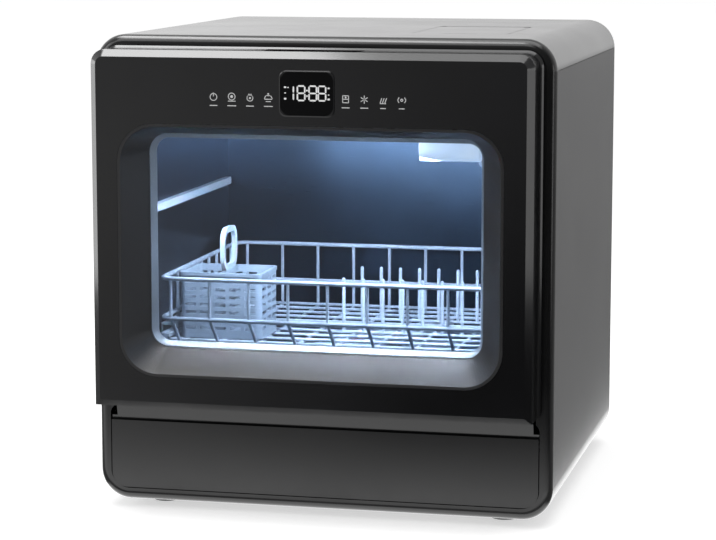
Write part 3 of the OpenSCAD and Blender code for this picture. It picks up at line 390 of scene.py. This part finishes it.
def ring(bm, layer, x, z, radius, width):
    # two circles bridged to a flat ring, which is then drawn out to its thickness
    front = layer["front"] - layer["thick"] / 2
    place = Matrix.Translation((x, front, z)) @ Matrix.Rotation(math.radians(90), 4, "X")
    verts = []
    for size in (radius, radius - width):
        circle = bmesh.ops.create_circle(bm, cap_ends=False, segments=roundSides, radius=size, matrix=place)
        verts += circle["verts"]
    flat = bmesh.ops.bridge_loops(bm, edges=edgesOf(verts))["faces"]
    wall = bmesh.ops.extrude_face_region(bm, geom=flat)["geom"]
    bmesh.ops.translate(bm, vec=(0, layer["thick"], 0), verts=vertsIn(wall))


display = {
    "front": lensLow.y + 0.03 * mm,
    "thick": 0.1 * mm,
    "middle": lensMiddle + 0.5 * mm,
    "high": 12.5 * mm,       # of a digit, between the middles of its outer segments
    "wide": 6.6 * mm,
    "segment": 1.35 * mm,    # width of a segment
    "gap": 0.5,              # between a segment's end and the next segment, as a share of that width
    "cut": 0.45,             # of a segment's corners, as a share of it too
    "digits": [("1", -15.4), ("8", -5.2), ("8", 5.2), ("8", 13.4)],    # and the x of each, in mm
    "colonUp": 2.4 * mm,
    "colonRadius": 0.8 * mm,
    # small marks beside the digits: x and z from the middle, and size, in mm
    "marks": [(-19.5, 5, 1.5), (-19.5, 0, 1.0), (-19.5, -5, 1.5), (-16.9, 4.8, 0.9),
              (19.3, 4.6, 1.3), (19.3, -1.2, 0.9), (19.3, -5, 1.5)],
    "markStretch": 1.4,
    "markCut": 0.2 * mm,
}
segmentsOf = {"1": "bc", "8": "abcdefg"}


def drawDigit(bm, figure, x):
    # segments a, g and d lie level from top to bottom; b and c stand at the right, f and e at the left
    high, wide, width = display["high"], display["wide"], display["segment"]
    levels = {"a": high / 2, "g": 0, "d": -high / 2}
    gap = width * display["gap"]
    cut = width * display["cut"]
    for name in segmentsOf[figure]:
        if name in levels:
            stroke(bm, display, x, display["middle"] + levels[name], wide - gap, width, 0, cut)
        else:
            side = wide / 2 if name in "bc" else -wide / 2
            up = high / 4 if name in "bf" else -high / 4
            stroke(bm, display, x + side, display["middle"] + up, high / 2 - gap, width, 90, cut)


digits = bmesh.new()
for figure, x in display["digits"]:
    drawDigit(digits, figure, x * mm)
for up in (display["colonUp"], -display["colonUp"]):
    dot(digits, display, 0, display["middle"] + up, display["colonRadius"])
for x, z, size in display["marks"]:
    length = size * display["markStretch"] * mm
    stroke(digits, display, x * mm, display["middle"] + z * mm, length, size * mm, 0, display["markCut"])
digitPiece = toPiece("display_digits", digits, "litDigits", "door")

displayRim = {
    "back": doorFront + 0.2 * mm,
    "proud": 0.7 * mm,    # from its back to its front
    "wide": lensHigh.x - lensLow.x + 3.2 * mm,
    "high": lensHigh.z - lensLow.z + 3.0 * mm,
    "corner": 7.0 * mm,
    "cornerSteps": 8,
    "slope": 1.3 * mm,
    "land": 0.35 * mm,
}


def drawRim(bm):
    # a rounded plate, inset twice: its sloped border comes forward, its middle goes back and is taken out
    rise = Vector((0, -displayRim["proud"], 0))
    place = Matrix.Translation((0, displayRim["back"], lensMiddle))
    upright = Matrix.Rotation(math.radians(90), 4, "X")
    size = Matrix.Diagonal((displayRim["wide"], displayRim["high"], 1, 1))
    plate = bmesh.ops.create_grid(bm, x_segments=1, y_segments=1, size=0.5, matrix=place @ upright @ size)
    bmesh.ops.bevel(bm, geom=plate["verts"], offset=displayRim["corner"],
                    segments=displayRim["cornerSteps"], affect="VERTICES", profile=0.5, material=-1)
    middle = bm.faces[:]
    bmesh.ops.inset_region(bm, faces=middle, thickness=displayRim["slope"], use_boundary=True,
                           use_even_offset=True)
    bmesh.ops.translate(bm, vec=rise, verts=middle[0].verts[:])
    bmesh.ops.inset_region(bm, faces=middle, thickness=displayRim["land"], use_boundary=True,
                           use_even_offset=True)
    sunk = bmesh.ops.extrude_face_region(bm, geom=middle)["geom"]
    bmesh.ops.translate(bm, vec=-rise, verts=vertsIn(sunk))
    sunkFaces = [item for item in sunk if isinstance(item, bmesh.types.BMFace)]
    bmesh.ops.delete(bm, geom=sunkFaces + middle, context="FACES_ONLY")
    bmesh.ops.bridge_loops(bm, edges=[edge for edge in bm.edges if edge.is_boundary])


rim = bmesh.new()
drawRim(rim)
rimPiece = toPiece("display_rim", rim, "glossAbs", "door")

legend = {
    "front": doorFront,
    "thick": 0.05 * mm,
    "level": lensMiddle - 4.0 * mm,
    "line": 0.7 * mm,
    "underlineLevel": lensMiddle - 11.4 * mm,
    "underlineWidth": 0.8 * mm,
    # each symbol: its x, the length of its underline, bars (x, z, length, angle), rings (x, z, radius)
    # and dots (x, z, radius), in mm
    "symbols": {
        "power": {"x": -84.0, "underline": 7, "bars": [(0, 2.2, 3.4, 90)], "rings": [(0, 0, 3.4)]},
        "plate": {
            "x": -67.5, "underline": 8, "bars": [(0, -3.4, 7, 0)], "rings": [(0, 0.6, 3.4)],
            "dots": [(0, 0.6, 1.3)],
        },
        "timer": {
            "x": -51.0, "underline": 7, "bars": [(-1.4, 2.2, 2.6, 60), (1.4, 2.2, 2.6, -60)],
            "rings": [(0, -0.4, 3.0)], "dots": [(0, -0.4, 1.0)],
        },
        "pot": {
            "x": -34.5, "underline": 8, "dots": [(0, 3.4, 0.8)],
            "bars": [(0, -1.2, 7, 0), (0, -3.2, 4.6, 0), (-2.9, 0.6, 2.8, 62), (2.9, 0.6, 2.8, -62),
                     (0, 2.0, 3.6, 0)],
        },
        "cupboard": {
            "x": 34.5, "underline": 7, "dots": [(0, 1.5, 0.8)],
            "bars": [(-2.6, 0, 6, 90), (2.6, 0, 6, 90), (0, -3.0, 5.2, 0), (0, 3.0, 5.2, 0),
                     (0, 0, 5.2, 0)],
        },
        "star": {
            "x": 51.0, "underline": 7, "bars": [(0, 0, 7, 90), (0, 0, 7, 30), (0, 0, 7, -30)],
            "dots": [(0, 0, 1.2)],
        },
        "warmAir": {
            "x": 67.5, "underline": 5,
            "bars": [(-1.8, -0.6, 4.4, 70), (0.3, -0.6, 4.4, 70), (2.4, -0.6, 4.4, 70), (0, -3.2, 5.4, 0)],
        },
        "waves": {
            "x": 84.0, "underline": 5, "rings": [(0, 0, 1.3)],
            "bars": [(-3.0, 1.2, 2.6, 60), (-3.0, -1.2, 2.6, -60), (3.0, 1.2, 2.6, -60),
                     (3.0, -1.2, 2.6, 60)],
        },
    },
}


def drawSymbol(bm, symbol):
    centre = symbol["x"]
    for x, z, length, angle in symbol.get("bars", []):
        stroke(bm, legend, (centre + x) * mm, legend["level"] + z * mm, length * mm, legend["line"], angle)
    for x, z, radius in symbol.get("rings", []):
        ring(bm, legend, (centre + x) * mm, legend["level"] + z * mm, radius * mm, legend["line"])
    for x, z, radius in symbol.get("dots", []):
        dot(bm, legend, (centre + x) * mm, legend["level"] + z * mm, radius * mm)
    length = symbol["underline"] * mm
    stroke(bm, legend, centre * mm, legend["underlineLevel"], length, legend["underlineWidth"])


symbols = bmesh.new()
for symbol in legend["symbols"].values():
    drawSymbol(symbols, symbol)
symbolPiece = toPiece("touch_symbols", symbols, "litLegend", "door")
print("drew the display and the symbols")


# the studio: a pale floor, a white surround and soft boxes

paper = {
    "wide": 24.0,
    "tones": ("#e6e6e6", "#e9e9e9"),
    "mottle": 3.0,
    "lift": 0.54,    # glow that takes the paper to white where the camera sees it
    # Painted reflections: what glossy faces mirror in the paper, set by its own x and y in metres. A
    # painted room lies in front, dark at the right, with a painted window at the left. The painted glow
    # brightens towards the machine's foot, most of all in a painted highlight strip right under its front,
    # and is even beside and behind it.
    "room": {"glow": (0.05, 1.0), "slant": (0.02, 0.65), "y": (-3.0, -0.8), "fade": (1.0, 0.6)},
    "foot": {"glow": 1.95, "y": (-0.68, -0.25), "x": (0.5, 0.25), "rise": 1.6},
    # a painted highlight strip on the paper right under the front, seen only in glossy faces
    "under": {"glow": 2.2, "y": (-0.193, -0.187), "x": (0.24, 0.22)},
    "beside": {"glow": 0.29, "y": (-0.25, -0.21)},
    "behind": {"glow": 0.35, "y": (0.0, 3.0)},
}


def paintedPaperReflection(tree):
    # the strength of the painted reflection that a glossy face mirrors where it meets the floor
    room, foot, under = paper["room"], paper["foot"], paper["under"]
    beside, behind = paper["beside"], paper["behind"]
    coord = addNode(tree, "ShaderNodeTexCoord")
    where = addNode(tree, "ShaderNodeSeparateXYZ", {0: coord.outputs["Object"]})
    x, y = where.outputs["X"], where.outputs["Y"]
    slant = addNode(tree, "ShaderNodeMath", {0: x, 1: y}, operation="DIVIDE")
    window = addNode(tree, "ShaderNodeMapRange", {
        "Value": slant.outputs[0], "From Min": room["slant"][0], "From Max": room["slant"][1],
        "To Min": room["glow"][0], "To Max": room["glow"][1],
    })
    fade = addNode(tree, "ShaderNodeMapRange", {
        "Value": y, "From Min": room["y"][0], "From Max": room["y"][1],
        "To Min": room["fade"][0], "To Max": room["fade"][1],
    })
    far = addNode(tree, "ShaderNodeMath", {0: window.outputs["Result"], 1: fade.outputs["Result"]},
                  operation="MULTIPLY")
    ahead = addNode(tree, "ShaderNodeMapRange", {
        "Value": y, "From Min": foot["y"][0], "From Max": foot["y"][1],
    })
    within = addNode(tree, "ShaderNodeMapRange", {
        "Value": x, "From Min": foot["x"][0], "From Max": foot["x"][1],
    })
    rising = addNode(tree, "ShaderNodeMath", {0: ahead.outputs["Result"], 1: foot["rise"]},
                     operation="POWER")
    near = addNode(tree, "ShaderNodeMath", {0: rising.outputs[0], 1: within.outputs["Result"]},
                   operation="MULTIPLY")
    front = addNode(tree, "ShaderNodeMix", {
        "Factor": near.outputs[0], "A": far.outputs[0], "B": foot["glow"],
    }, data_type="FLOAT")
    rear = addNode(tree, "ShaderNodeMapRange", {
        "Value": y, "From Min": behind["y"][0], "From Max": behind["y"][1],
        "To Min": beside["glow"], "To Max": behind["glow"],
    })
    past = addNode(tree, "ShaderNodeMapRange", {
        "Value": y, "From Min": beside["y"][0], "From Max": beside["y"][1],
    })
    shade = addNode(tree, "ShaderNodeMix", {
        "Factor": past.outputs["Result"], "A": front.outputs["Result"], "B": rear.outputs["Result"],
    }, data_type="FLOAT")
    # the painted highlight strip right under the machine's front
    close = addNode(tree, "ShaderNodeMapRange", {
        "Value": y, "From Min": under["y"][0], "From Max": under["y"][1],
    })
    aside = addNode(tree, "ShaderNodeMath", {0: x}, operation="ABSOLUTE")
    between = addNode(tree, "ShaderNodeMapRange", {
        "Value": aside.outputs[0], "From Min": under["x"][0], "From Max": under["x"][1],
    })
    strip = addNode(tree, "ShaderNodeMath", {0: close.outputs["Result"], 1: between.outputs["Result"]},
                    operation="MULTIPLY")
    return addNode(tree, "ShaderNodeMix", {
        "Factor": strip.outputs[0], "A": shade.outputs["Result"], "B": under["glow"],
    }, data_type="FLOAT").outputs["Result"]


def studioPaper(name):
    # pale matt paper; the camera sees it lifted to white, and glossy rays see a painted reflection, a glow
    # set by the paper's own x and y
    mat = bpy.data.materials.new(name)
    tree = newTree(mat)
    mottle = addNode(tree, "ShaderNodeTexNoise", {"Scale": paper["mottle"], "Detail": 2.0})
    tone = addNode(tree, "ShaderNodeValToRGB", {0: mottle.outputs["Fac"]},
                   stops=[(noiseLow, paper["tones"][0]), (noiseHigh, paper["tones"][1])])
    matte = addNode(tree, "ShaderNodeBsdfDiffuse", {"Color": tone.outputs["Color"]})
    lift = addNode(tree, "ShaderNodeEmission", {"Color": (1, 1, 1, 1), "Strength": paper["lift"]})
    lifted = addNode(tree, "ShaderNodeAddShader", {0: matte.outputs[0], 1: lift.outputs[0]})
    path = addNode(tree, "ShaderNodeLightPath")
    seen = addNode(tree, "ShaderNodeMixShader", {
        0: path.outputs["Is Camera Ray"], 1: matte.outputs[0], 2: lifted.outputs[0],
    })
    # glossy rays see only this painted reflection glow, not the lit paper
    paintedReflectionGlow = addNode(tree, "ShaderNodeEmission", {"Color": (1, 1, 1, 1), "Strength": paintedPaperReflection(tree)})
    either = addNode(tree, "ShaderNodeMixShader", {
        0: path.outputs["Is Glossy Ray"], 1: seen.outputs[0], 2: paintedReflectionGlow.outputs[0],
    })
    addNode(tree, "ShaderNodeOutputMaterial", {"Surface": either.outputs[0]})
    return mat


sheet = bmesh.new()
bmesh.ops.create_grid(sheet, x_segments=1, y_segments=1, size=paper["wide"] / 2)
floorMesh = bpy.data.meshes.new("studioFloor")
sheet.to_mesh(floorMesh)
sheet.free()
floorMesh.materials.append(studioPaper("paleStudioPaper"))
floor = bpy.data.objects.new("studioFloor", floorMesh)
bpy.context.scene.collection.objects.link(floor)

surround = {
    "seen": 1.0,    # white where the camera sees it
    "soft": 0.6,    # as soft light on the machine
    # what glossy faces mirror, by the x and y of the direction: rear and front, each from right to left
    "rear": {"glow": (1.0, 1.3), "x": (-0.13, -0.33)},
    "front": {"glow": (0.12, 0.4), "x": (0.2, -0.6)},
    "turn": (-0.5, 0.3),    # from front to rear
}


def studioWorld(name):
    rear, front = surround["rear"], surround["front"]
    world = bpy.data.worlds.new(name)
    tree = newTree(world)
    coord = addNode(tree, "ShaderNodeTexCoord")
    towards = addNode(tree, "ShaderNodeSeparateXYZ", {0: coord.outputs["Generated"]})
    x, y = towards.outputs["X"], towards.outputs["Y"]
    turn = addNode(tree, "ShaderNodeMapRange", {
        "Value": y, "From Min": surround["turn"][0], "From Max": surround["turn"][1],
    })
    inFront = addNode(tree, "ShaderNodeMapRange", {
        "Value": x, "From Min": front["x"][0], "From Max": front["x"][1],
        "To Min": front["glow"][0], "To Max": front["glow"][1],
    })
    atRear = addNode(tree, "ShaderNodeMapRange", {
        "Value": x, "From Min": rear["x"][0], "From Max": rear["x"][1],
        "To Min": rear["glow"][0], "To Max": rear["glow"][1],
    })
    level = addNode(tree, "ShaderNodeMix", {
        "Factor": turn.outputs["Result"], "A": inFront.outputs["Result"], "B": atRear.outputs["Result"],
    }, data_type="FLOAT")
    path = addNode(tree, "ShaderNodeLightPath")
    soft = addNode(tree, "ShaderNodeBackground", {"Color": (1, 1, 1, 1), "Strength": surround["soft"]})
    mirror = addNode(tree, "ShaderNodeBackground", {
        "Color": (1, 1, 1, 1), "Strength": level.outputs["Result"],
    })
    white = addNode(tree, "ShaderNodeBackground", {"Color": (1, 1, 1, 1), "Strength": surround["seen"]})
    unseen = addNode(tree, "ShaderNodeMixShader", {
        0: path.outputs["Is Glossy Ray"], 1: soft.outputs[0], 2: mirror.outputs[0],
    })
    shown = addNode(tree, "ShaderNodeMixShader", {
        0: path.outputs["Is Camera Ray"], 1: unseen.outputs[0], 2: white.outputs[0],
    })
    addNode(tree, "ShaderNodeOutputWorld", {"Surface": shown.outputs[0]})
    return world


bpy.context.scene.world = studioWorld("studioWorld")

# each lamp is a rectangle at its place, aimed at its target; one that is mirroredOnly lights no matt face
lamps = {
    "topSoftbox": {
        "place": (0.0, -0.4, 2.0), "target": (0.0, -0.05, 0.3), "size": (2.0, 1.4), "watts": 26,
    },
    "leftSoftbox": {
        "place": (-2.0, -1.6, 1.1), "target": (0.0, -0.1, 0.25), "size": (1.0, 1.4), "watts": 13,
    },
    "topStrip": {
        "place": (-0.42, -0.42, 1.6), "target": (-0.1, -0.2, 0.42), "size": (1.25, 0.4), "watts": 14,
        "mirroredOnly": True,
    },
    "frontBox": {
        "place": (-0.5, -1.7, 1.9), "target": (0.0, -0.2, 0.3), "size": (1.8, 1.2), "watts": 15,
        "mirroredOnly": True,
    },
    "rightStrip": {
        "place": (1.5, -0.45, 0.32), "target": (0.2, -0.2, 0.3), "size": (0.3, 0.6), "watts": 1.1,
        "mirroredOnly": True,
    },
    "leftStrip": {
        "place": (-1.4, 0.2, 0.32), "target": (-0.2, -0.2, 0.3), "size": (0.3, 0.6), "watts": 1.6,
        "mirroredOnly": True,
    },
    # the machine's own lamp, cool white, under the ceiling of the tub, and what the tub throws back of it
    "tubLamp": {
        "place": (0.113, -0.15, 0.322), "target": (0.02, -0.02, 0.15), "size": (0.05, 0.016), "watts": 1.08,
        "colour": "#dfeaff",
    },
    "tubFill": {
        "place": (-0.03, -0.16, 0.352), "target": (0.0, 0.05, 0.12), "size": (0.2, 0.012), "watts": 0.84,
        "colour": "#dfeaff",
    },
    "tubFront": {
        "place": (0.0, -0.168, 0.3), "target": (0.0, 0.02, 0.17), "size": (0.28, 0.012), "watts": 1.1,
        "colour": "#e0ebff",
    },
    # a narrow beam between the panes, down on the sill of the window
    "sillLamp": {
        "place": (0.0, -0.189, 0.344), "target": (0.0, -0.189, 0.16), "size": (0.28, 0.006), "watts": 0.17,
        "colour": "#f2f6ff", "spread": 16,
    },
}


def addLamp(name, look):
    data = bpy.data.lights.new(name, "AREA")
    data.shape = "RECTANGLE"
    data.size, data.size_y = look["size"]
    data.energy = look["watts"]
    data.color = toLinear(look.get("colour", "#ffffff"))[:3]
    data.spread = math.radians(look.get("spread", 180))
    lamp = bpy.data.objects.new(name, data)
    lamp.location = look["place"]
    aim = Vector(look["target"]) - Vector(look["place"])
    lamp.rotation_euler = aim.to_track_quat("-Z", "Y").to_euler()
    lamp.visible_diffuse = not look.get("mirroredOnly", False)
    lamp.visible_camera = False
    bpy.context.scene.collection.objects.link(lamp)


for name, look in lamps.items():
    addLamp(name, look)

bpy.context.scene.view_settings.view_transform = "Standard"
print("lit the studio")
